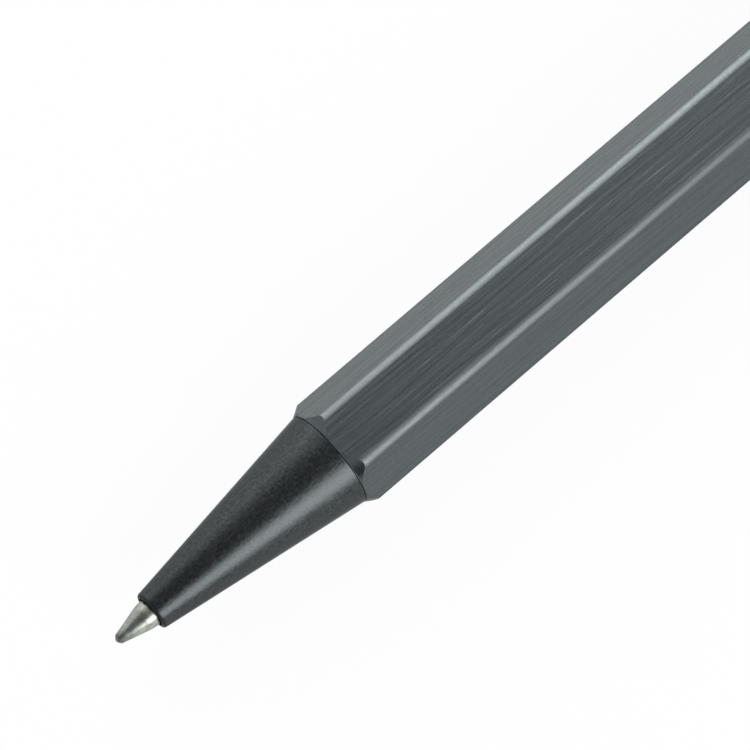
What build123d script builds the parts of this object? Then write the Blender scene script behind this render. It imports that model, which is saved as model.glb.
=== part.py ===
from build123d import *
import math
import os

# Twist-action ballpoint pen with a hexagonal barrel, in millimetres.
# Stations run along X from the end of the ball, at 0, to the tail, and the pen's axis lies on X.
# The pen is drawn with its point out: the refill is fully forward and the knob is at its first stop.

# Refill: ball, point, neck, tube, ink and plug
ball_diameter = 0.7
ball_reach = 0.2
ball_lip_wall = 0.04
lip_angle = 20.0
seat_angle = 45.0
cone_diameter = 2.1
cone_length = 2.5
point_diameter = 2.35
point_shoulder_length = 1.1
point_length = 8.7
stem_diameter = 1.7
stem_length = 2.8
channel_diameter = 0.9
seat_channel_diameter = 0.36
seat_channel_length = 1.6
neck_diameter = 3.0
neck_shoulder = 18.0
neck_flange = 1.0
neck_plug_length = 5.0
neck_channel = 1.2
refill_diameter = 5.9
tube_wall = 0.3
tube_length = 74.0
ink_space = 6.0
plug_cap_length = 5.0
plug_stem_length = 5.0
plug_vent = 0.8
plug_edge = 0.3
crown_slot_width = 1.0
crown_slot_depth = 1.4

# Return spring, as pressed together while the point is out
wire_diameter = 0.4
spring_length = 7.0
spring_turns = 6.0
wire_sides = 6

# Nose cone: stepped bore for point, neck, spring and refill, and a spigot that goes into the barrel
nose_length = 17.85
point_reach = 3.35
rim_width = 0.25
rim_radius = 0.28
mouth_break = 0.05
spigot_wall = 0.425
spigot_length = 7.5

# Barrel: hexagonal tube with turned ends, its wall measured at the flats over the spigot
barrel_wall = 0.655
edge_radius = 0.8
end_angle = 31.0
turn_step = 0.03
seam_inset = 0.05
seam_break = 0.06

# Twist drive: pusher, pin, slotted tubes, friction ring and washer
travel = 5.5
twist_angle = 180.0
rear_wall = 0.7
sleeve_wall = 0.48
cam_wall = 0.65
cam_web = 1.2
lip_thickness = 0.9
pusher_edge = 0.3
pin_diameter = 1.2
pin_inset = 0.13
pin_setback = 1.6
shaft_step = 0.9
shaft_engagement = 6.0
ring_section = 0.7
ring_sides = 6
ring_land = 0.8
washer_thickness = 0.4

# Tail: bush, clip and knob
bush_seat_length = 5.5
flange_thickness = 1.0
clip_thickness = 0.5
clip_width = 4.0
clip_tip_width = 3.2
clip_tip_radius = 1.05
clip_length = 38.0
clip_rise = 1.35
clip_foot_length = 4.2
clip_foot_setback = 3.6
clip_foot_rise = 0.9
clip_lip_rise = 0.75
clip_bend_radius = 0.9
clip_curl_radius = 3.0
knob_length = 9.0
knob_chamfer = 0.8
knob_break = 0.15

# Clearances
seat_gap = 0.02
ball_gap = 0.015
point_gap = 0.1
neck_gap = 0.15
coil_gap = 0.1
refill_gap = 0.1
bore_gap = 0.2
pusher_gap = 0.1
lip_gap = 0.2
slot_gap = 0.05
running_gap = 0.05
end_gap = 0.1
knob_gap = 0.2
stroke_gap = 0.4
overrun = 1.0

# Diameters, from the refill out to the barrel
lip_diameter = ball_diameter + 2 * ball_lip_wall
socket_diameter = ball_diameter + 2 * ball_gap
tube_bore = refill_diameter - 2 * tube_wall
spring_diameter = neck_diameter + 2 * (coil_gap + wire_diameter)
mouth_bore = point_diameter + 2 * point_gap
neck_bore = neck_diameter + 2 * neck_gap
spring_bore = spring_diameter + 2 * coil_gap
nose_bore = refill_diameter + 2 * refill_gap
spigot_diameter = nose_bore + 2 * spigot_wall
spigot_bore = spigot_diameter + 2 * seat_gap
barrel_bore = refill_diameter + 2 * bore_gap
across_flats = spigot_bore + 2 * barrel_wall
corner_diameter = 2 * across_flats / math.sqrt(3)
turned_diameter = across_flats + 2 * turn_step
seam_diameter = across_flats - 2 * seam_inset
seam_edge_diameter = seam_diameter - 2 * seam_break
nose_front_diameter = mouth_bore + 2 * (mouth_break + rim_width)

# Diameters of the twist drive, from the barrel in to the pusher
rear_bore = across_flats - 2 * rear_wall
sleeve_diameter = rear_bore - 2 * seat_gap
sleeve_bore = sleeve_diameter - 2 * sleeve_wall
cam_diameter = sleeve_bore - 2 * running_gap
cam_bore = cam_diameter - 2 * cam_wall
pusher_diameter = cam_bore - 2 * pusher_gap
shaft_diameter = cam_diameter - 2 * shaft_step
lip_bore = pusher_diameter + 2 * lip_gap
bush_bore = shaft_diameter + 2 * running_gap
knob_hole = shaft_diameter + 2 * seat_gap

# Helical slots: wide enough for the pin at the inside of the cam tube, where they climb most steeply
lead = travel * 360 / twist_angle
bore_climb = math.atan2(lead, math.pi * cam_bore)
slot_width = pin_diameter + 2 * slot_gap
slot_axial_width = slot_width / math.cos(bore_climb)
slot_end_angle = math.degrees(slot_width / cam_bore)
slot_end_reach = lead * slot_end_angle / 360 + slot_axial_width / 2

# Stations along the pen
mouth_end = point_length - stroke_gap
spring_seat = neck_shoulder - spring_length
nose_front = point_reach
seam = nose_front + nose_length
spigot_end = seam + spigot_length
stem_end = point_length + stem_length
tube_start = neck_shoulder + neck_flange
neck_end = tube_start + neck_plug_length
tube_end = tube_start + tube_length
refill_end = tube_end + plug_cap_length
sleeve_front = refill_end + travel + stroke_gap
cam_front = sleeve_front + lip_thickness + end_gap
pin_station = cam_front + cam_web + slot_end_reach
pusher_end = pin_station + pin_setback
cam_bore_end = pusher_end + travel + stroke_gap
ring_station = cam_bore_end + ring_land + ring_section / 2
cam_end = ring_station + ring_section / 2 + ring_land
washer_front = cam_end + end_gap
sleeve_end = washer_front + washer_thickness
barrel_end = sleeve_end + bush_seat_length
flange_front = barrel_end + clip_thickness
flange_end = flange_front + flange_thickness
knob_front = flange_end + knob_gap
knob_end = knob_front + knob_length
shaft_end = knob_front + shaft_engagement


def half_section(*corners):
    # one side of a turned piece's section, from its corners as station and diameter
    return make_face(Polyline(*[(station, diameter / 2) for station, diameter in corners], close=True))


def turned(*corners):
    return revolve(half_section(*corners), Axis.X)


def make_barrel():
    hexagon = RegularPolygon(corner_diameter / 2, 6)
    hexagon = fillet(hexagon.vertices(), edge_radius)
    bar = extrude(Plane.YZ.offset(seam) * hexagon, barrel_end - seam)
    turn_length = (corner_diameter - turned_diameter) / 2 / math.tan(math.radians(end_angle))
    end_diameter = turned_diameter - 2 * seam_break
    front_edge = seam + seam_break
    back_edge = barrel_end - seam_break
    ends = turned(
        (seam, 0),
        (seam, end_diameter),
        (front_edge, turned_diameter),
        (front_edge + turn_length, corner_diameter),
        (back_edge - turn_length, corner_diameter),
        (back_edge, turned_diameter),
        (barrel_end, end_diameter),
        (barrel_end, 0),
    )
    spigot_bore_end = spigot_end + stroke_gap
    hollow = turned(
        (seam - overrun, 0),
        (seam - overrun, spigot_bore),
        (spigot_bore_end, spigot_bore),
        (spigot_bore_end, barrel_bore),
        (sleeve_front, barrel_bore),
        (sleeve_front, rear_bore),
        (barrel_end + overrun, rear_bore),
        (barrel_end + overrun, 0),
    )
    return (bar & ends) - hollow


def make_nose_cone():
    nose_bore_start = neck_shoulder - stroke_gap
    section = half_section(
        (nose_front, mouth_bore + 2 * mouth_break),
        (nose_front, nose_front_diameter),
        (seam - seam_break, seam_diameter),
        (seam, seam_edge_diameter),
        (seam, spigot_diameter),
        (spigot_end, spigot_diameter),
        (spigot_end, nose_bore),
        (nose_bore_start, nose_bore),
        (nose_bore_start, spring_bore),
        (spring_seat, spring_bore),
        (spring_seat, neck_bore),
        (mouth_end, neck_bore),
        (mouth_end, mouth_bore),
        (nose_front + mouth_break, mouth_bore),
    )
    rim = section.vertices().sort_by_distance((nose_front, nose_front_diameter / 2))[0]
    return revolve(fillet(rim, min(rim_radius, rim_width)), Axis.X)


def make_refill_ball():
    return Pos(ball_diameter / 2, 0, 0) * Sphere(ball_diameter / 2)


def tangent_reach(angle, diameter):
    # how far from the ball's middle a cone that touches the socket at this angle comes to this diameter
    turn = math.radians(angle)
    return (socket_diameter - diameter * math.cos(turn)) / 2 / math.sin(turn)


def make_refill_point():
    # the socket: a lip that closes in front of the ball, a short cylinder round it and a conical seat behind it
    ball_centre = ball_diameter / 2
    lip_turn = math.radians(lip_angle)
    lip_depth = ball_centre - ball_reach
    lip_opening = (socket_diameter - 2 * lip_depth * math.sin(lip_turn)) / math.cos(lip_turn)
    cone_end = ball_reach + cone_length
    seat_end = ball_centre + tangent_reach(seat_angle, seat_channel_diameter)
    seat_channel_end = seat_end + seat_channel_length
    return turned(
        (ball_reach, lip_opening),
        (ball_reach, lip_diameter),
        (cone_end, cone_diameter),
        (cone_end + point_shoulder_length, point_diameter),
        (point_length, point_diameter),
        (point_length, stem_diameter),
        (stem_end, stem_diameter),
        (stem_end, channel_diameter),
        (seat_channel_end, channel_diameter),
        (seat_channel_end, seat_channel_diameter),
        (seat_end, seat_channel_diameter),
        (ball_centre + tangent_reach(seat_angle, socket_diameter), socket_diameter),
        (ball_centre - tangent_reach(lip_angle, socket_diameter), socket_diameter),
    )


def make_refill_neck():
    plug_diameter = tube_bore - 2 * seat_gap
    stem_bore = stem_diameter + 2 * seat_gap
    stem_bore_end = stem_end + seat_gap
    return turned(
        (point_length, stem_bore),
        (point_length, neck_diameter),
        (neck_shoulder, neck_diameter),
        (neck_shoulder, refill_diameter),
        (tube_start, refill_diameter),
        (tube_start, plug_diameter),
        (neck_end, plug_diameter),
        (neck_end, neck_channel),
        (stem_bore_end, neck_channel),
        (stem_bore_end, stem_bore),
    )


def make_refill_tube():
    return turned(
        (tube_start, tube_bore),
        (tube_start, refill_diameter),
        (tube_end, refill_diameter),
        (tube_end, tube_bore),
    )


def make_refill_ink():
    ink_diameter = tube_bore - 2 * seat_gap
    ink_end = tube_end - plug_stem_length - ink_space
    return turned(
        (neck_end, 0),
        (neck_end, ink_diameter),
        (ink_end, ink_diameter),
        (ink_end, 0),
    )


def make_refill_plug():
    # the crown at the back is cut by two crossed slots, so that air gets in behind the ink
    stem_start = tube_end - plug_stem_length
    plug_diameter = tube_bore - 2 * seat_gap
    body = turned(
        (stem_start, plug_vent),
        (stem_start, plug_diameter),
        (tube_end, plug_diameter),
        (tube_end, refill_diameter),
        (refill_end - plug_edge, refill_diameter),
        (refill_end, refill_diameter - 2 * plug_edge),
        (refill_end, plug_vent),
    )
    slot = Box(crown_slot_depth + overrun, refill_diameter + overrun, crown_slot_width)
    slot = Pos(refill_end + (overrun - crown_slot_depth) / 2, 0, 0) * slot
    for turn in (0, 90):
        body -= Rot(turn, 0, 0) * slot
    return body


def helix_point(angle, radius, start, pitch):
    turn = math.radians(angle)
    return Vector(start + pitch * angle / 360, radius * math.cos(turn), radius * math.sin(turn))


def helix_direction(angle, radius, pitch):
    turn = math.radians(angle)
    along = pitch / (2 * math.pi)
    return Vector(along, -radius * math.sin(turn), radius * math.cos(turn)).normalized()


def make_return_spring():
    # each quarter turn of the wire is two tangent arcs that meet half way
    coil_radius = (spring_diameter - wire_diameter) / 2
    wire_start = spring_seat + wire_diameter / 2 + seat_gap
    wire_end = neck_shoulder - wire_diameter / 2 - seat_gap
    pitch = (wire_end - wire_start) / spring_turns
    quarter = 90
    arcs = []
    for step in range(round(spring_turns * 360 / quarter)):
        angle = step * quarter
        first = helix_point(angle, coil_radius, wire_start, pitch)
        last = helix_point(angle + quarter, coil_radius, wire_start, pitch)
        leave = helix_direction(angle, coil_radius, pitch)
        arrive = helix_direction(angle + quarter, coil_radius, pitch)
        chord = last - first
        pull = chord.dot(leave + arrive)
        bend = 2 * (1 - leave.dot(arrive))
        reach = (math.sqrt(pull * pull + bend * chord.dot(chord)) - pull) / bend
        middle = (first + last + (leave - arrive) * reach) / 2
        across = chord - (leave + arrive) * reach
        arcs.append(TangentArc(first, middle, tangent=leave))
        arcs.append(TangentArc(middle, last, tangent=across))
    path = Wire(arcs)
    section = Plane(origin=path @ 0, z_dir=path % 0) * RegularPolygon(wire_diameter / 2, wire_sides)
    print(f"spring: gap between turns {pitch - wire_diameter:.2f}")
    return sweep(section, path=path)


def make_pusher():
    rod = turned(
        (refill_end, 0),
        (refill_end, pusher_diameter - 2 * pusher_edge),
        (refill_end + pusher_edge, pusher_diameter),
        (pusher_end, pusher_diameter),
        (pusher_end, 0),
    )
    hole = Cylinder(pin_diameter / 2 + seat_gap, pusher_diameter + overrun)
    return rod - Pos(pin_station, 0, 0) * Rot(90, 0, 0) * hole


def make_cross_pin():
    pin = Cylinder(pin_diameter / 2, sleeve_diameter - 2 * pin_inset)
    return Pos(pin_station, 0, 0) * Rot(90, 0, 0) * pin


def make_helical_slot():
    # a block as deep as the cam tube's wall, carried round the axis along the lead
    middle_radius = (cam_bore + cam_diameter) / 4
    start = pin_station - lead * slot_end_angle / 360
    height = lead * (twist_angle + 2 * slot_end_angle) / 360
    path = Helix(lead, height, middle_radius, (start, 0, 0), (1, 0, 0), lefthand=True)
    begin = path @ 0
    outward = Vector(0, begin.Y, begin.Z)
    plane = Plane(origin=begin, x_dir=outward, z_dir=Vector(1, 0, 0).cross(outward))
    block = plane * Rectangle(cam_wall + overrun, slot_axial_width)
    slot = sweep(block, path=path, is_frenet=True)
    begin_angle = math.degrees(math.atan2(begin.Z, begin.Y))
    return Rot(slot_end_angle - begin_angle, 0, 0) * slot


def make_cam_tube():
    # the front is a tube with two helical slots, the back a solid shaft for the knob
    groove_half = ring_section / 2 + seat_gap
    groove_diameter = sleeve_bore - 2 * (ring_section + 2 * seat_gap)
    body = turned(
        (cam_front, cam_bore),
        (cam_front, cam_diameter),
        (ring_station - groove_half, cam_diameter),
        (ring_station - groove_half, groove_diameter),
        (ring_station + groove_half, groove_diameter),
        (ring_station + groove_half, cam_diameter),
        (cam_end, cam_diameter),
        (cam_end, shaft_diameter),
        (shaft_end, shaft_diameter),
        (shaft_end, 0),
        (cam_bore_end, 0),
        (cam_bore_end, cam_bore),
    )
    slot = make_helical_slot()
    for turn in (0, 180):
        body -= Rot(turn, 0, 0) * slot
    return body


def make_guide_sleeve():
    lip_end = sleeve_front + lip_thickness
    body = turned(
        (sleeve_front, lip_bore),
        (sleeve_front, sleeve_diameter),
        (sleeve_end, sleeve_diameter),
        (sleeve_end, sleeve_bore),
        (lip_end, sleeve_bore),
        (lip_end, lip_bore),
    )
    slot = SlotCenterToCenter(travel, slot_width)
    slot = extrude(Plane.XZ * slot, sleeve_diameter, both=True)
    return body - Pos(pin_station + travel / 2, 0, 0) * slot


def make_friction_ring():
    ring_radius = (sleeve_bore - ring_section) / 2 - seat_gap
    return revolve(Pos(ring_station, ring_radius) * RegularPolygon(ring_section / 2, ring_sides), Axis.X)


def make_thrust_washer():
    washer_diameter = sleeve_bore - 2 * running_gap
    return turned(
        (washer_front, bush_bore),
        (washer_front, washer_diameter),
        (sleeve_end, washer_diameter),
        (sleeve_end, bush_bore),
    )


def make_tail_bush():
    return turned(
        (sleeve_end, bush_bore),
        (sleeve_end, sleeve_diameter),
        (flange_front, sleeve_diameter),
        (flange_front, seam_edge_diameter),
        (flange_front + seam_break, seam_diameter),
        (flange_end - seam_break, seam_diameter),
        (flange_end, seam_edge_diameter),
        (flange_end, bush_bore),
    )


def make_clip():
    # one strip: a ring under the bush's flange, up, forward over the top flat, down to a foot, and a raised lip
    half = clip_thickness / 2
    flat = across_flats / 2
    back = barrel_end + half
    top = flat + clip_rise + half
    tip = flange_front - clip_length
    foot = tip + clip_foot_setback
    foot_height = flat + seat_gap + half
    spine = FilletPolyline(
        (back, (rear_bore + seam_diameter) / 4),
        (back, top),
        (foot + clip_foot_length, foot_height + clip_foot_rise),
        (foot, foot_height),
        (tip, foot_height + clip_lip_rise),
        radius=[clip_bend_radius, clip_curl_radius, clip_curl_radius],
    )
    strip = extrude(Plane.XZ * trace(spine, clip_thickness), clip_width / 2, both=True)
    plan = make_face(
        Polyline(
            (flange_front, -clip_width / 2),
            (flange_front, clip_width / 2),
            (tip, clip_tip_width / 2),
            (tip, -clip_tip_width / 2),
            close=True,
        )
    )
    plan = fillet(plan.vertices().group_by(Axis.X)[0], clip_tip_radius)
    strip &= extrude(plan, top + clip_rise)
    ring = turned(
        (barrel_end, rear_bore),
        (barrel_end, seam_diameter),
        (flange_front, seam_diameter),
        (flange_front, rear_bore),
    )
    return strip + ring


def make_tail_knob():
    hole_end = shaft_end + seat_gap
    return turned(
        (knob_front, knob_hole),
        (knob_front, seam_diameter - 2 * knob_break),
        (knob_front + knob_break, seam_diameter),
        (knob_end - knob_chamfer, seam_diameter),
        (knob_end, seam_diameter - 2 * knob_chamfer),
        (knob_end, 0),
        (hole_end, 0),
        (hole_end, knob_hole),
    )


pieces = {
    "barrel": make_barrel,
    "nose_cone": make_nose_cone,
    "return_spring": make_return_spring,
    "refill_ball": make_refill_ball,
    "refill_point": make_refill_point,
    "refill_neck": make_refill_neck,
    "refill_tube": make_refill_tube,
    "refill_ink": make_refill_ink,
    "refill_plug": make_refill_plug,
    "pusher": make_pusher,
    "cross_pin": make_cross_pin,
    "cam_tube": make_cam_tube,
    "guide_sleeve": make_guide_sleeve,
    "friction_ring": make_friction_ring,
    "thrust_washer": make_thrust_washer,
    "tail_bush": make_tail_bush,
    "clip": make_clip,
    "tail_knob": make_tail_knob,
}

# The pen lies on one flat, with the origin under the middle of its length
place = Pos(-knob_end / 2, 0, across_flats / 2)
os.makedirs("parts", exist_ok=True)
for name, make in pieces.items():
    export_step(place * make(), f"parts/{name}.step")
print(f"length {knob_end:.3f}, across flats {across_flats:.3f}, barrel {barrel_end - seam:.3f}")
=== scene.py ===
import bpy
import math
from mathutils import Matrix, Vector


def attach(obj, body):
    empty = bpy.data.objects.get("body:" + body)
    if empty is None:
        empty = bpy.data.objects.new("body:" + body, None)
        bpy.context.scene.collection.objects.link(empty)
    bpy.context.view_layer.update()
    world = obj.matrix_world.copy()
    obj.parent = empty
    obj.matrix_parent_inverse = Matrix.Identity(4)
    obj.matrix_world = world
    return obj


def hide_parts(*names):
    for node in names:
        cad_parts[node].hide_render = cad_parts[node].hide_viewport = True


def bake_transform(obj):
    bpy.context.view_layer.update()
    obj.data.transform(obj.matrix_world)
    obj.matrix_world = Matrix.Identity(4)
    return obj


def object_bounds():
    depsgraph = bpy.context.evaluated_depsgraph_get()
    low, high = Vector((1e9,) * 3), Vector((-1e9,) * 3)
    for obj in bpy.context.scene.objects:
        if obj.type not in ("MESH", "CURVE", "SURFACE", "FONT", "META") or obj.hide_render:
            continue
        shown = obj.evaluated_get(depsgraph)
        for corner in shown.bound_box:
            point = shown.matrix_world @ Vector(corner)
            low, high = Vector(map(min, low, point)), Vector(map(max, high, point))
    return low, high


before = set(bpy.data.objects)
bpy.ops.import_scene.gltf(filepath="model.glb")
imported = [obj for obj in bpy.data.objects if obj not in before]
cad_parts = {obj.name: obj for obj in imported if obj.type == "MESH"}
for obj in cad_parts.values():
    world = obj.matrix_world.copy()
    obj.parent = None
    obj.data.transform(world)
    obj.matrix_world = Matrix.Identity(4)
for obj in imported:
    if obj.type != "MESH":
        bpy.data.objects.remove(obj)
cadBox = [list(corner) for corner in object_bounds()]
mm = 0.001
tipX = cadBox[0][0]  # the ball's end, where stations along the pen start
axisHeight = 4.15 * mm
pickSlack = 0.001 * mm  # how far off an edge or corner may lie and still be picked
weldReach = 0.0001 * mm
print("frame loaded")


def alongPen(station):
    return tipX + station * mm


def fromAxis(point):
    return math.hypot(point.y, point.z - axisHeight)


# picking and shaping


def clearPick():
    if bpy.context.object and bpy.context.object.mode != "OBJECT":
        bpy.ops.object.mode_set(mode="OBJECT")
    bpy.ops.object.select_all(action="DESELECT")


def takePiece(piece):
    clearPick()
    piece.select_set(True)
    bpy.context.view_layer.objects.active = piece


def settlePiece(name):
    # names the new primitive and puts its place into its mesh
    piece = bpy.context.object
    piece.name = name
    bpy.ops.object.transform_apply(location=True, rotation=True, scale=True)
    return piece


def editEdges(action):
    # edit mode, with all edges picked or none
    bpy.ops.object.mode_set(mode="EDIT")
    bpy.ops.mesh.select_mode(type="EDGE")
    bpy.ops.mesh.select_all(action=action)


def pickEdges(piece, wanted):
    # leaves the piece in edit mode with just those edges picked
    takePiece(piece)
    editEdges("DESELECT")
    bpy.ops.object.mode_set(mode="OBJECT")
    points = piece.data.vertices
    for edge in piece.data.edges:
        edge.select = wanted(points[edge.vertices[0]].co, points[edge.vertices[1]].co)
    bpy.ops.object.mode_set(mode="EDIT")


def turnOutwards():
    bpy.ops.mesh.select_all(action="SELECT")
    bpy.ops.mesh.normals_make_consistent(inside=False)
    bpy.ops.object.mode_set(mode="OBJECT")


def closeShell(join):
    # joins the two open rings of a shell, or fills each of them
    bpy.ops.mesh.select_all(action="DESELECT")
    bpy.ops.mesh.select_non_manifold()
    if join:
        bpy.ops.mesh.bridge_edge_loops()
    else:
        bpy.ops.mesh.fill_holes(sides=0)
    turnOutwards()


def turnRings(name, rings, sides=160, join=True):
    # a turned piece: one ring, drawn out and sized ring by ring
    clearPick()
    station, diameter = rings[0]
    bpy.ops.mesh.primitive_circle_add(
        vertices=sides, radius=diameter / 2 * mm, fill_type="NOTHING",
        location=(alongPen(station), 0, axisHeight), rotation=(0, math.pi / 2, 0))
    piece = settlePiece(name)
    editEdges("SELECT")
    for nextStation, nextDiameter in rings[1:]:
        step = (nextStation - station) * mm
        bpy.ops.mesh.extrude_region_move(TRANSFORM_OT_translate={"value": (step, 0, 0)})
        grow = nextDiameter / diameter
        bpy.ops.transform.resize(value=(1, grow, grow),
                                 center_override=(alongPen(nextStation), 0, axisHeight))
        station, diameter = nextStation, nextDiameter
    closeShell(join)
    return piece


def roundRing(piece, station, diameter, reach, steps):
    # rounds one turned edge, found by its station and diameter
    def onRing(point):
        offStation = abs(point.x - alongPen(station))
        offRadius = abs(fromAxis(point) - diameter / 2 * mm)
        return offStation < 2 * pickSlack and offRadius < 4 * pickSlack

    pickEdges(piece, lambda a, b: onRing(a) and onRing(b))
    bpy.ops.mesh.bevel(offset=reach * mm, segments=steps, affect="EDGES")
    bpy.ops.object.mode_set(mode="OBJECT")


def smoothPiece(piece, degrees=30):
    takePiece(piece)
    bpy.ops.object.shade_smooth_by_angle(angle=math.radians(degrees))


def applyModifier(piece, kind, **settings):
    takePiece(piece)
    modifier = piece.modifiers.new(kind.title(), kind)
    for key, value in settings.items():
        setattr(modifier, key, value)
    bpy.ops.object.modifier_apply(modifier=modifier.name)


def cutWith(piece, tool, operation):
    applyModifier(piece, "BOOLEAN", operation=operation, object=tool, solver="EXACT")
    mesh = tool.data
    bpy.data.objects.remove(tool)
    bpy.data.meshes.remove(mesh)


def mergeClose(piece, reach):
    # drops the sliver faces that a cut leaves where two corners meet
    takePiece(piece)
    bpy.ops.object.mode_set(mode="EDIT")
    bpy.ops.mesh.select_all(action="SELECT")
    bpy.ops.mesh.remove_doubles(threshold=reach)
    bpy.ops.mesh.dissolve_degenerate(threshold=reach)
    bpy.ops.object.mode_set(mode="OBJECT")


def dress(piece, *materials):
    piece.data.materials.clear()
    for material in materials:
        piece.data.materials.append(material)


def standsFor(piece, node, body):
    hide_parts(node)
    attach(piece, body)


# materials: grains and marks are counts a metre, and bump depths are in metres

noiseLow, noiseHigh = 0.3, 0.7  # most of a noise lies between these


def addNode(tree, kind, **settings):
    node = tree.nodes.new(kind)
    for key, value in settings.items():
        setattr(node, key, value)
    return node


def startMaterial(name):
    material = bpy.data.materials.new(name)
    material.use_nodes = True
    tree = material.node_tree
    shader = next(node for node in tree.nodes if node.type == "BSDF_PRINCIPLED")
    return material, tree, shader


def marksNoise(tree, along, across, detail=3.0, rough=0.55):
    # noise drawn out along the pen or round it
    place = addNode(tree, "ShaderNodeTexCoord")
    spread = addNode(tree, "ShaderNodeMapping")
    spread.inputs["Scale"].default_value = (along, across, across)
    noise = addNode(tree, "ShaderNodeTexNoise")
    noise.inputs["Scale"].default_value = 1.0
    noise.inputs["Detail"].default_value = detail
    noise.inputs["Roughness"].default_value = rough
    tree.links.new(place.outputs["Object"], spread.inputs["Vector"])
    tree.links.new(spread.outputs["Vector"], noise.inputs["Vector"])
    return noise.outputs["Fac"]


def grainNoise(tree, count, **settings):
    return marksNoise(tree, count, count, **settings)


def stationOf(tree):
    # the place along the pen, for what changes from end to end
    place = addNode(tree, "ShaderNodeTexCoord")
    axes = addNode(tree, "ShaderNodeSeparateXYZ")
    tree.links.new(place.outputs["Object"], axes.inputs["Vector"])
    return axes.outputs["X"]


def toneStops(tree, source, tone, stops):
    # the tone, times a factor at each stop of the source
    ramp = addNode(tree, "ShaderNodeValToRGB")
    points = ramp.color_ramp.elements
    while len(points) < len(stops):
        points.new(0.5)
    for point, (place, factor) in zip(points, stops):
        point.position = place
        point.color = (*(channel * factor for channel in tone), 1)
    tree.links.new(source, ramp.inputs["Fac"])
    return ramp.outputs["Color"]


def toneRange(tree, source, tone, factors):
    return toneStops(tree, source, tone, list(zip((noiseLow, noiseHigh), factors)))


def spanOf(tree, source, low, high, fromLow=noiseLow, fromHigh=noiseHigh):
    span = addNode(tree, "ShaderNodeMapRange")
    span.inputs["From Min"].default_value = fromLow
    span.inputs["From Max"].default_value = fromHigh
    span.inputs["To Min"].default_value = low
    span.inputs["To Max"].default_value = high
    tree.links.new(source, span.inputs["Value"])
    return span.outputs["Result"]


def timesOf(tree, first, second):
    mix = addNode(tree, "ShaderNodeMix", data_type="RGBA", blend_type="MULTIPLY")
    mix.inputs["Factor"].default_value = 1.0
    tree.links.new(first, mix.inputs["A"])
    tree.links.new(second, mix.inputs["B"])
    return mix.outputs["Result"]


def addBump(tree, shader, source, depth, strength):
    bump = addNode(tree, "ShaderNodeBump")
    bump.inputs["Distance"].default_value = depth
    bump.inputs["Strength"].default_value = strength
    tree.links.new(source, bump.inputs["Height"])
    tree.links.new(bump.outputs["Normal"], shader.inputs["Normal"])


def paint(tree, shader, color, roughness):
    tree.links.new(color, shader.inputs["Base Color"])
    tree.links.new(roughness, shader.inputs["Roughness"])


def setMetal(shader, glare, share=1.0):
    # glare is how much of its usual shine a metal keeps where it is seen edge-on
    shader.inputs["Metallic"].default_value = share
    shader.inputs["Specular Tint"].default_value = (glare, glare, glare, 1)


gunmetalFinish = {"streaksAlong": 105, "streaksAcross": 2300, "streakDetail": 2.0, "streakRough": 0.6,
                  "streakStops": ((0.3, 0.95), (0.5, 1.0), (0.72, 1.06)), "bump": 0.7,
                  "hairsAlong": 900, "hairsAcross": 14000, "hairDetail": 1.0,
                  "grit": 6000, "gritDetail": 2.0, "gritFactors": (0.92, 1.08), "stretch": 0.45}
flatFinish = {"tone": (0.098, 0.1155, 0.1205), "rough": (0.24, 0.34), "depth": 0.000122, "glare": 1.0}
dimmedReflectionFinish = dict(flatFinish, glare=0.5)  # top and bottom flats: a copy that keeps less shine edge-on, a painted dimming of a softbox's reflection in low views
edgeFinish = {"tone": (0.15, 0.17, 0.174), "rough": (0.4, 0.48), "depth": 0.000015, "glare": 0.2}


def makeBrushedGunmetal(name, part):
    # long streaks in colour and bump, fine hairs in the gloss, and a little grit
    finish = gunmetalFinish
    material, tree, shader = startMaterial(name)
    streaks = marksNoise(tree, finish["streaksAlong"], finish["streaksAcross"],
                         detail=finish["streakDetail"], rough=finish["streakRough"])
    hairs = marksNoise(tree, finish["hairsAlong"], finish["hairsAcross"], detail=finish["hairDetail"])
    grit = grainNoise(tree, finish["grit"], detail=finish["gritDetail"])
    lines = toneStops(tree, streaks, part["tone"], finish["streakStops"])
    color = timesOf(tree, lines, spanOf(tree, grit, *finish["gritFactors"]))
    paint(tree, shader, color, spanOf(tree, hairs, *part["rough"]))
    addBump(tree, shader, streaks, part["depth"], finish["bump"])
    setMetal(shader, part["glare"])
    shader.inputs["Anisotropic"].default_value = finish["stretch"]
    around = addNode(tree, "ShaderNodeTangent", direction_type="RADIAL", axis="X")
    tree.links.new(around.outputs["Tangent"], shader.inputs["Tangent"])
    return material


turnedFinish = {"marksAlong": 30000, "marksAcross": 300, "detail": 2.0, "factors": (0.9, 1.1),
                "rough": (0.2, 0.3), "glare": 0.6}


def makeTurnedGunmetal():
    # the turned ends of the barrel: marks of the tool run round the axis
    finish = turnedFinish
    material, tree, shader = startMaterial("turnedGunmetal")
    marks = marksNoise(tree, finish["marksAlong"], finish["marksAcross"], detail=finish["detail"])
    color = toneRange(tree, marks, flatFinish["tone"], finish["factors"])
    paint(tree, shader, color, spanOf(tree, marks, *finish["rough"]))
    setMetal(shader, finish["glare"])
    return material


blackFinish = {"tone": (0.064, 0.0715, 0.0735), "grain": 4700, "grainDetail": 4.0, "grainRough": 0.65,
               "factors": (0.68, 1.32), "rough": (0.28, 0.42), "depth": 0.00003, "bump": 0.5,
               "glare": 0.58, "metal": 0.93, "rimShadeShare": 0.42, "rimShadeStart": 3.42, "rimShadeEnd": 3.66}


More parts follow.
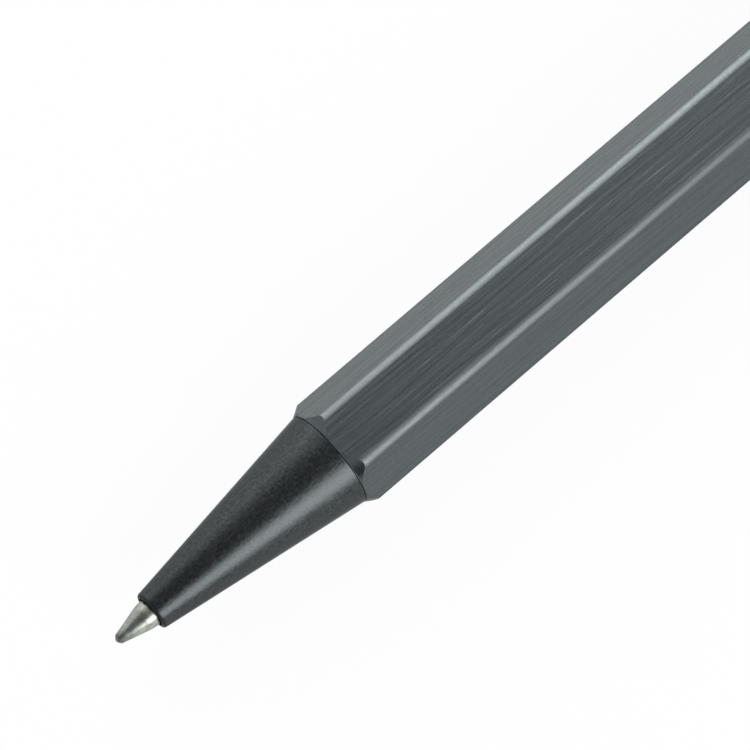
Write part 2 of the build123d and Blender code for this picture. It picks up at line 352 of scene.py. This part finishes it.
def makeSatinBlack():
    # grained lacquer, with painted shade over the rim round the mouth
    finish = blackFinish
    material, tree, shader = startMaterial("satinBlack")
    grain = grainNoise(tree, finish["grain"], detail=finish["grainDetail"], rough=finish["grainRough"])
    lacquer = toneRange(tree, grain, finish["tone"], finish["factors"])
    # painted shade: the lacquer's colour darkens over the rim round the mouth
    rim = spanOf(tree, stationOf(tree), finish["rimShadeShare"], 1.0,
                 alongPen(finish["rimShadeStart"]), alongPen(finish["rimShadeEnd"]))
    paint(tree, shader, timesOf(tree, lacquer, rim), spanOf(tree, grain, *finish["rough"]))
    addBump(tree, shader, grain, finish["depth"], finish["bump"])
    setMetal(shader, finish["glare"], finish["metal"])
    return material


pointFinish = {"tone": (0.41, 0.44, 0.4), "blotches": 1600, "factors": (0.66, 1.22),
               "marksAlong": 5000, "marksAcross": 300, "detail": 2.0, "rough": (0.33, 0.42), "glare": 0.5,
               "wander": 0.06, "wanderGrain": 1300, "inkAndReflectionShare": 0.36, "inkAndReflectionStart": 0.1, "inkAndReflectionEnd": 1.1,
               "mouthShadeShare": 0.05, "mouthShadeStart": 3.21, "mouthShadeEnd": 3.36}


def makePointMetal():
    # the drawn point: blotched, darker by the ball from an ink stain and in part a painted dark reflection,
    # and with painted shade from the mouth inwards
    finish = pointFinish
    material, tree, shader = startMaterial("nickelSilver")
    marks = marksNoise(tree, finish["marksAlong"], finish["marksAcross"], detail=finish["detail"])
    reach = finish["wander"] * mm  # how far the ends of the darkened bands by the ball and at the mouth wander along the pen
    wander = addNode(tree, "ShaderNodeMath", operation="ADD")
    tree.links.new(stationOf(tree), wander.inputs[0])
    tree.links.new(spanOf(tree, grainNoise(tree, finish["wanderGrain"]), -reach, reach), wander.inputs[1])
    place = wander.outputs[0]
    # darker towards the ball: an ink stain there, and in part a painted dark reflection
    inkAndReflection = spanOf(tree, place, finish["inkAndReflectionShare"], 1.0,
                   alongPen(finish["inkAndReflectionStart"]), alongPen(finish["inkAndReflectionEnd"]))
    # painted shade: the point darkens from the mouth inwards, where the cone shades it
    mouthShade = spanOf(tree, place, 1.0, finish["mouthShadeShare"],
                   alongPen(finish["mouthShadeStart"]), alongPen(finish["mouthShadeEnd"]))
    polished = toneRange(tree, grainNoise(tree, finish["blotches"]), finish["tone"], finish["factors"])
    color = timesOf(tree, timesOf(tree, polished, inkAndReflection), mouthShade)
    paint(tree, shader, color, spanOf(tree, marks, *finish["rough"]))
    setMetal(shader, finish["glare"])
    return material


metalFinish = {"marksAlong": 16000, "marksAcross": 200, "factors": (0.9, 1.06), "depth": 0.000002,
               "bump": 0.3, "glare": 1.0}


def makeMarkedMetal(name, tone, rough, **changes):
    # metal with fine marks, round the axis unless the changes say otherwise
    finish = dict(metalFinish, **changes)
    material, tree, shader = startMaterial(name)
    marks = marksNoise(tree, finish["marksAlong"], finish["marksAcross"])
    paint(tree, shader, toneRange(tree, marks, tone, finish["factors"]), spanOf(tree, marks, *rough))
    addBump(tree, shader, marks, finish["depth"], finish["bump"])
    setMetal(shader, finish["glare"])
    return material


mouldedFinish = {"grain": 2500, "factors": (0.88, 1.1), "depth": 0.00001, "bump": 0.2}


def makeMoulded(name, tone, rough):
    finish = mouldedFinish
    material, tree, shader = startMaterial(name)
    grain = grainNoise(tree, finish["grain"])
    paint(tree, shader, toneRange(tree, grain, tone, finish["factors"]), spanOf(tree, grain, *rough))
    addBump(tree, shader, grain, finish["depth"], finish["bump"])
    return material


brushedGunmetal = makeBrushedGunmetal("brushedGunmetal", flatFinish)
# the copy with the painted dimming of a softbox's reflection, for the top and bottom flats
dimmedReflectionGunmetal = makeBrushedGunmetal("dimmedReflectionGunmetal", dimmedReflectionFinish)
edgeGunmetal = makeBrushedGunmetal("edgeGunmetal", edgeFinish)
turnedGunmetal = makeTurnedGunmetal()
satinBlack = makeSatinBlack()
nickelSilver = makePointMetal()
hardBall = makeMarkedMetal("hardBall", (0.17, 0.17, 0.175), (0.12, 0.24))
neckBrass = makeMarkedMetal("neckBrass", (0.72, 0.53, 0.24), (0.18, 0.3))
driveBrass = makeMarkedMetal("driveBrass", (0.68, 0.5, 0.22), (0.22, 0.36))
refillSteel = makeMarkedMetal("refillSteel", (0.6, 0.61, 0.62), (0.2, 0.34))
springSteel = makeMarkedMetal("springSteel", (0.54, 0.55, 0.56), (0.18, 0.32))
pinSteel = makeMarkedMetal("pinSteel", (0.6, 0.61, 0.62), (0.12, 0.22))
platedSteel = makeMarkedMetal("platedSteel", (0.116, 0.128, 0.132), (0.32, 0.4),
                              marksAlong=500, marksAcross=7000, glare=0.6)  # brushed lengthwise
inkPaste = makeMoulded("inkPaste", (0.012, 0.014, 0.05), (0.15, 0.3))
plugPlastic = makeMoulded("plugPlastic", (0.05, 0.05, 0.055), (0.4, 0.6))
acetalPlastic = makeMoulded("acetalPlastic", (0.8, 0.8, 0.77), (0.35, 0.5))
ringRubber = makeMoulded("ringRubber", (0.02, 0.02, 0.02), (0.6, 0.8))
print("materials made")

# inside pieces keep their solids and get a finish

insideFinish = {
    "refill_neck": neckBrass, "refill_tube": refillSteel, "refill_ink": inkPaste,
    "refill_plug": plugPlastic, "pusher": acetalPlastic, "thrust_washer": acetalPlastic,
    "cross_pin": pinSteel, "cam_tube": driveBrass, "guide_sleeve": driveBrass,
    "friction_ring": ringRubber,
}
for node, finish in insideFinish.items():
    dress(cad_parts[node], finish)
print("inside pieces dressed")

# sizes are in millimetres, places along the pen are stations from the ball's end, and angles are in degrees

barrelSizes = {"start": 21.2, "end": 123.229, "acrossFlats": 8.3, "edgeRadius": 0.8, "edgeSteps": 10,
               "turnedDiameter": 8.36, "turnAngle": 31, "endBreak": 0.06, "endSides": 360,
               "spigotBore": 6.99, "spigotEnd": 29.1, "bore": 6.3, "rearStart": 103.9, "rearBore": 6.9,
               "overrun": 1, "boreSides": 120, "mergeReach": 0.002, "smoothAngle": 12}


def makeBarrel():
    size = barrelSizes
    start, end = size["start"], size["end"]
    corner = 2 * size["acrossFlats"] / math.sqrt(3)
    clearPick()
    bpy.ops.mesh.primitive_cylinder_add(
        vertices=6, radius=corner / 2 * mm, depth=(end - start) * mm,
        location=(alongPen((start + end) / 2), 0, axisHeight), rotation=(0, math.pi / 2, 0))
    piece = settlePiece("barrelShell")
    halfLength = (end - start) / 2 * mm
    pickEdges(piece, lambda a, b: abs(a.x - b.x) > halfLength)  # the six long edges
    bpy.ops.mesh.bevel(offset=size["edgeRadius"] * math.tan(math.radians(30)) * mm,
                       segments=size["edgeSteps"], affect="EDGES")
    bpy.ops.object.mode_set(mode="OBJECT")
    turned, lip = size["turnedDiameter"], size["endBreak"]
    turn = (corner - turned) / 2 / math.tan(math.radians(size["turnAngle"]))
    lipDiameter = turned - 2 * lip
    ends = turnRings("turnedEnds", [
        (start, lipDiameter), (start + lip, turned), (start + lip + turn, corner),
        (end - lip - turn, corner), (end - lip, turned), (end, lipDiameter)],
        sides=size["endSides"], join=False)
    cutWith(piece, ends, "INTERSECT")
    hollow = turnRings("hollow", [
        (start - size["overrun"], size["spigotBore"]), (size["spigotEnd"], size["spigotBore"]),
        (size["spigotEnd"], size["bore"]), (size["rearStart"], size["bore"]),
        (size["rearStart"], size["rearBore"]), (end + size["overrun"], size["rearBore"])],
        sides=size["boreSides"], join=False)
    cutWith(piece, hollow, "DIFFERENCE")
    mergeClose(piece, size["mergeReach"] * mm)
    dressBarrel(piece)
    smoothPiece(piece, size["smoothAngle"])
    applyModifier(piece, "WEIGHTED_NORMAL", weight=100, keep_sharp=True)
    standsFor(piece, "barrel", "barrel")


faceSort = {"turnedLean": 0.2, "flatSlack": 2, "topBottomLean": 0.9}  # limits on a face's normal


def dressBarrel(piece):
    dress(piece, brushedGunmetal, turnedGunmetal, edgeGunmetal, dimmedReflectionGunmetal)
    turnedSlot, edgeSlot, dimmedReflectionSlot = 1, 2, 3
    for face in piece.data.polygons:
        aroundAxis = math.degrees(math.atan2(face.normal.z, face.normal.y)) % 60
        if abs(face.normal.x) > faceSort["turnedLean"]:
            face.material_index = turnedSlot
        elif abs(aroundAxis - 30) > faceSort["flatSlack"]:  # off the six flats
            face.material_index = edgeSlot
        # the top and bottom flats take the copy with the painted dimming of a softbox's reflection
        elif abs(face.normal.z) > faceSort["topBottomLean"]:
            face.material_index = dimmedReflectionSlot


makeBarrel()
print("barrel made")

noseSizes = {"front": 3.35, "frontDiameter": 3.15, "mouth": 2.55, "mouthBreak": 0.05, "mouthEnd": 8.3,
             "rimReach": 0.22, "rimSteps": 8, "seam": 21.2, "seamDiameter": 8.2, "seamBreak": 0.06,
             "end": 28.7, "spigot": 6.95, "bore": 6.1, "boreStart": 17.6, "springBore": 4.2,
             "springSeat": 11.0, "neckBore": 3.3, "sides": 192}


def makeNoseCone():
    size = noseSizes
    piece = turnRings("noseShell", [
        (size["front"], size["mouth"] + 2 * size["mouthBreak"]), (size["front"], size["frontDiameter"]),
        (size["seam"] - size["seamBreak"], size["seamDiameter"]),
        (size["seam"], size["seamDiameter"] - 2 * size["seamBreak"]), (size["seam"], size["spigot"]),
        (size["end"], size["spigot"]), (size["end"], size["bore"]), (size["boreStart"], size["bore"]),
        (size["boreStart"], size["springBore"]), (size["springSeat"], size["springBore"]),
        (size["springSeat"], size["neckBore"]), (size["mouthEnd"], size["neckBore"]),
        (size["mouthEnd"], size["mouth"]), (size["front"] + size["mouthBreak"], size["mouth"])],
        sides=size["sides"])
    roundRing(piece, size["front"], size["frontDiameter"], size["rimReach"], size["rimSteps"])
    dress(piece, satinBlack)
    smoothPiece(piece)
    standsFor(piece, "nose_cone", "barrel")


makeNoseCone()
print("nose cone made")

pointSizes = {"lip": 0.2, "lipOpening": 0.668, "lipDiameter": 0.78, "lipRound": 0.05, "lipSteps": 3,
              "coneEnd": 2.7, "coneDiameter": 2.1, "coneRound": 0.2, "coneSteps": 4, "shoulderEnd": 3.8,
              "diameter": 2.35, "end": 8.7, "stem": 1.7, "stemEnd": 11.5, "channel": 0.9, "seat": 2.286,
              "seatChannel": 0.36, "socketEnd": 0.686, "socketBack": 0.501, "socket": 0.73,
              "socketStart": 0.286, "sides": 128}


def makeRefillPoint():
    size = pointSizes
    piece = turnRings("pointShell", [
        (size["lip"], size["lipOpening"]), (size["lip"], size["lipDiameter"]),
        (size["coneEnd"], size["coneDiameter"]), (size["shoulderEnd"], size["diameter"]),
        (size["end"], size["diameter"]), (size["end"], size["stem"]), (size["stemEnd"], size["stem"]),
        (size["stemEnd"], size["channel"]), (size["seat"], size["channel"]),
        (size["seat"], size["seatChannel"]), (size["socketEnd"], size["seatChannel"]),
        (size["socketBack"], size["socket"]), (size["socketStart"], size["socket"])],
        sides=size["sides"])
    roundRing(piece, size["coneEnd"], size["coneDiameter"], size["coneRound"], size["coneSteps"])
    roundRing(piece, size["lip"], size["lipDiameter"], size["lipRound"], size["lipSteps"])
    dress(piece, nickelSilver)
    smoothPiece(piece)
    standsFor(piece, "refill_point", "refill")


ballSizes = {"diameter": 0.7, "rings": 24, "sides": 48}


def makeRefillBall():
    size = ballSizes
    rings = []
    for step in range(1, size["rings"]):
        angle = math.pi * step / size["rings"]
        rings.append((size["diameter"] / 2 * (1 - math.cos(angle)), size["diameter"] * math.sin(angle)))
    piece = turnRings("writingBall", rings, sides=size["sides"], join=False)
    dress(piece, hardBall)
    smoothPiece(piece)
    standsFor(piece, "refill_ball", "ball")


makeRefillPoint()
makeRefillBall()
print("refill point made")

springSizes = {"start": 11.22, "end": 17.78, "coil": 3.6, "wire": 0.4, "wireSides": 14, "turns": 6,
               "turnSteps": 40, "smoothAngle": 40}


def makeSpring():
    # round wire, drawn along its helix
    size = springSizes
    clearPick()
    bpy.ops.mesh.primitive_circle_add(
        vertices=size["wireSides"], radius=size["wire"] / 2 * mm, fill_type="NOTHING",
        location=(alongPen(size["start"]), size["coil"] / 2 * mm, axisHeight))
    piece = bpy.context.object
    bpy.context.scene.cursor.location = (0, 0, axisHeight)
    bpy.ops.object.origin_set(type="ORIGIN_CURSOR")
    pitch = (size["end"] - size["start"]) / size["turns"]
    applyModifier(piece, "SCREW", axis="X", angle=2 * math.pi, screw_offset=pitch * mm,
                  iterations=size["turns"], steps=size["turnSteps"], render_steps=size["turnSteps"],
                  use_merge_vertices=False)
    settlePiece("springWire")
    editEdges("SELECT")
    bpy.ops.mesh.remove_doubles(threshold=weldReach)
    closeShell(join=False)
    dress(piece, springSteel)
    smoothPiece(piece, size["smoothAngle"])
    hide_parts("return_spring")
    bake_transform(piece)  # opens as the refill goes back


makeSpring()
print("spring made")

bushSizes = {"start": 117.729, "flange": 123.729, "end": 124.729, "bore": 4.1, "seat": 6.86,
             "diameter": 8.2, "edge": 0.08, "edgeSteps": 3}


def makeTailBush():
    size = bushSizes
    piece = turnRings("bushShell", [
        (size["start"], size["bore"]), (size["start"], size["seat"]), (size["flange"], size["seat"]),
        (size["flange"], size["diameter"]), (size["end"], size["diameter"]), (size["end"], size["bore"])])
    for station in (size["flange"], size["end"]):
        roundRing(piece, station, size["diameter"], size["edge"], size["edgeSteps"])
    dress(piece, platedSteel)
    smoothPiece(piece)
    standsFor(piece, "tail_bush", "barrel")


clipSizes = {"ringStart": 123.229, "ringEnd": 123.729, "ringBore": 6.9, "ringDiameter": 8.2,
             "ringOverlap": 0.32, "thickness": 0.5, "width": 4.0, "top": 1.59, "topBend": 0.62,
             "footTop": 93.529, "footTopWidth": 3.36, "footRise": 0.9, "footTopBend": 0.45,
             "footStation": 89.329, "footWidth": 3.28, "footHeight": 0.27, "footBend": 1.1,
             "tip": 85.729, "tipWidth": 3.2, "lipRise": 0.74, "tipRound": 1.0, "bendSteps": 8,
             "edge": 0.09, "edgeSteps": 3, "edgeAngle": 50, "smoothAngle": 35}


def makeClip():
    size = clipSizes
    flat = axisHeight / mm * 2  # height of the top flat above the floor
    foot = flat + size["footHeight"]
    back = (size["ringStart"] + size["ringEnd"]) / 2
    # the strip's middle line, from the ring to the lip: station, height, width, rounding of that bend
    stops = [(back, flat - size["ringOverlap"], size["width"], 0),
             (back, flat + size["top"], size["width"], size["topBend"]),
             (size["footTop"], foot + size["footRise"], size["footTopWidth"], size["footTopBend"]),
             (size["footStation"], foot, size["footWidth"], size["footBend"]),
             (size["tip"], foot + size["lipRise"], size["tipWidth"], 0)]
    clearPick()
    station, height, width, _ = stops[0]
    bpy.ops.mesh.primitive_plane_add(size=width * mm, location=(alongPen(station), 0, height * mm))
    piece = settlePiece("clipSpring")
    editEdges("SELECT")
    bpy.ops.transform.resize(value=(0, 1, 1), center_override=(alongPen(station), 0, height * mm))
    bpy.ops.mesh.remove_doubles(threshold=weldReach)  # the plane folds to one edge across the pen
    for nextStation, nextHeight, nextWidth, _ in stops[1:]:
        bpy.ops.mesh.extrude_region_move(TRANSFORM_OT_translate={
            "value": ((nextStation - station) * mm, 0, (nextHeight - height) * mm)})
        bpy.ops.transform.resize(value=(1, nextWidth / width, 1),
                                 center_override=(alongPen(nextStation), 0, nextHeight * mm))
        station, height, width = nextStation, nextHeight, nextWidth
    for station, height, _, reach in stops:
        if reach:
            bend = (alongPen(station), height * mm)
            pickEdges(piece, lambda a, b: all(
                abs(end.x - bend[0]) < pickSlack and abs(end.z - bend[1]) < pickSlack for end in (a, b)))
            bpy.ops.mesh.bevel(offset=reach * mm, segments=size["bendSteps"], affect="EDGES")
    # both corners of the tip are rounded
    bpy.ops.mesh.select_mode(type="VERT")
    bpy.ops.mesh.select_all(action="DESELECT")
    bpy.ops.object.mode_set(mode="OBJECT")
    for point in piece.data.vertices:
        point.select = abs(point.co.x - alongPen(size["tip"])) < pickSlack
    bpy.ops.object.mode_set(mode="EDIT")
    bpy.ops.mesh.bevel(offset=size["tipRound"] * mm, segments=size["bendSteps"], affect="VERTICES")
    turnOutwards()
    applyModifier(piece, "SOLIDIFY", thickness=size["thickness"] * mm, offset=0, use_even_offset=True)
    ring = turnRings("clipRing", [
        (size["ringStart"], size["ringBore"]), (size["ringStart"], size["ringDiameter"]),
        (size["ringEnd"], size["ringDiameter"]), (size["ringEnd"], size["ringBore"])])
    cutWith(piece, ring, "UNION")
    applyModifier(piece, "BEVEL", width=size["edge"] * mm, segments=size["edgeSteps"],
                  limit_method="ANGLE", angle_limit=math.radians(size["edgeAngle"]))
    dress(piece, platedSteel)
    smoothPiece(piece, size["smoothAngle"])
    standsFor(piece, "clip", "barrel")


knobSizes = {"front": 124.929, "end": 133.919, "diameter": 8.2, "chamfer": 0.8, "hole": 4.04,
             "holeEnd": 130.95, "pole": 0.02, "edge": 0.12, "edgeSteps": 3, "endRound": 0.3,
             "endSteps": 5, "sides": 192}


def makeTailKnob():
    size = knobSizes
    shoulder, face = size["end"] - size["chamfer"], size["diameter"] - 2 * size["chamfer"]
    piece = turnRings("knobShell", [
        (size["holeEnd"], size["pole"]), (size["holeEnd"], size["hole"]), (size["front"], size["hole"]),
        (size["front"], size["diameter"]), (shoulder, size["diameter"]), (size["end"], face),
        (size["end"], size["pole"])], sides=size["sides"], join=False)
    roundRing(piece, size["front"], size["diameter"], size["edge"], size["edgeSteps"])
    roundRing(piece, shoulder, size["diameter"], size["endRound"], size["endSteps"])
    roundRing(piece, size["end"], face, size["endRound"], size["endSteps"])
    dress(piece, satinBlack)
    smoothPiece(piece)
    standsFor(piece, "tail_knob", "knob")


makeTailBush()
makeClip()
makeTailKnob()
print("tail made")

# floor, lights and camera, in metres

floorSizes = {"side": 4.0, "tone": 0.9, "glow": 0.94}


def makeFloor():
    # white where the camera or a mirror sees it, with a share left for the pen's shadow
    clearPick()
    bpy.ops.mesh.primitive_plane_add(size=floorSizes["side"], location=(0, 0, cadBox[0][2]))
    floor = bpy.context.object
    floor.name = "floor"
    material = bpy.data.materials.new("paleFloor")
    material.use_nodes = True
    tree = material.node_tree
    tree.nodes.clear()
    seen = addNode(tree, "ShaderNodeLightPath")
    either = addNode(tree, "ShaderNodeMath", operation="MAXIMUM")
    anyOf = addNode(tree, "ShaderNodeMath", operation="MAXIMUM")
    share = addNode(tree, "ShaderNodeMath", operation="MULTIPLY")
    share.inputs[1].default_value = floorSizes["glow"]
    matt = addNode(tree, "ShaderNodeBsdfDiffuse")
    matt.inputs["Color"].default_value = (floorSizes["tone"],) * 3 + (1,)
    glow = addNode(tree, "ShaderNodeEmission")
    glow.inputs["Strength"].default_value = 1.0
    mix = addNode(tree, "ShaderNodeMixShader")
    out = addNode(tree, "ShaderNodeOutputMaterial")
    tree.links.new(seen.outputs["Is Camera Ray"], either.inputs[0])
    tree.links.new(seen.outputs["Is Glossy Ray"], either.inputs[1])
    tree.links.new(either.outputs[0], anyOf.inputs[0])
    tree.links.new(seen.outputs["Is Transmission Ray"], anyOf.inputs[1])
    tree.links.new(anyOf.outputs[0], share.inputs[0])
    tree.links.new(share.outputs[0], mix.inputs["Fac"])
    tree.links.new(matt.outputs[0], mix.inputs[1])
    tree.links.new(glow.outputs[0], mix.inputs[2])
    tree.links.new(mix.outputs[0], out.inputs["Surface"])
    dress(floor, material)


makeFloor()

# each softbox stands in a direction from one station of the pen, faces it, and has a size and a brightness
lightStation = 40
softboxes = {
    "right": {"toward": (-0.025, -0.8, 0.55), "distance": 0.6, "size": (0.4, 0.4), "radiance": 5.5},
    "left": {"toward": (0.5, 0.83, 0.25), "distance": 0.7, "size": (0.62, 0.42), "radiance": 4.4},
    "leftHigh": {"toward": (0.42, 0.7, 0.72), "distance": 0.7, "size": (0.46, 0.36), "radiance": 2.8},
    "front": {"toward": (-0.4, 0.85, 0.35), "distance": 0.7, "size": (0.6, 0.5), "radiance": 0.78},
    "top": {"toward": (0.6, 0.1, 0.8), "distance": 0.9, "size": (0.7, 0.9), "radiance": 0.84},
    "nose": {"toward": (-0.92, 0.0, 0.38), "distance": 0.9, "size": (1.3, 0.5), "radiance": 0.8},
}
for name, box in softboxes.items():
    lamp = bpy.data.lights.new(name + "Softbox", "AREA")
    lamp.shape = "RECTANGLE"
    lamp.size, lamp.size_y = box["size"]
    lamp.energy = box["radiance"] * math.pi * lamp.size * lamp.size_y
    holder = bpy.data.objects.new(name + "Softbox", lamp)
    bpy.context.scene.collection.objects.link(holder)
    toward = Vector(box["toward"]).normalized()
    holder.location = Vector((alongPen(lightStation), 0, axisHeight)) + toward * box["distance"]
    holder.rotation_euler = toward.to_track_quat("Z", "Y").to_euler()

worldLight = 0.1
world = bpy.data.worlds.new("studio")
world.use_nodes = True
sky = world.node_tree.nodes["Background"]
sky.inputs["Color"].default_value = (1, 1, 1, 1)
sky.inputs["Strength"].default_value = worldLight
bpy.context.scene.world = world

# the camera's turns about the pen's axis, across it and in the picture, its focal length in pixels,
# its distance in millimetres, and the pixel where the seam's middle falls
cameraFit = {"aboutAxis": -6.657, "across": 12.894, "roll": 40.427, "focal": 5831.4, "distance": 435.57,
             "seamPixel": (329.70, 459.08), "frame": 750, "sensor": 36, "clipStart": 0.01}


def makeCamera():
    fit = cameraFit
    roll, across, aboutAxis = (
        Matrix.Rotation(math.radians(fit[turn]), 3, axis)
        for turn, axis in (("roll", "Z"), ("across", "Y"), ("aboutAxis", "X")))
    toWorld = (roll @ across @ aboutAxis).transposed()
    perPixel = fit["distance"] / fit["focal"]
    half = fit["frame"] / 2
    seamX, seamY = fit["seamPixel"]
    offset = Vector(((half - seamX) * perPixel, (seamY - half) * perPixel, fit["distance"]))
    seam = Vector((alongPen(noseSizes["seam"]), 0, axisHeight))
    camera = bpy.data.cameras.new("photoCamera")
    camera.sensor_width = fit["sensor"]
    camera.lens = fit["focal"] * camera.sensor_width / fit["frame"]
    camera.clip_start = fit["clipStart"]
    holder = bpy.data.objects.new("photoCamera", camera)
    bpy.context.scene.collection.objects.link(holder)
    place = toWorld.to_4x4()
    place.translation = seam + toWorld @ offset * mm
    holder.matrix_world = place
    bpy.context.scene.camera = holder


makeCamera()
bpy.context.scene.view_settings.view_transform = "Standard"
print("stage set")
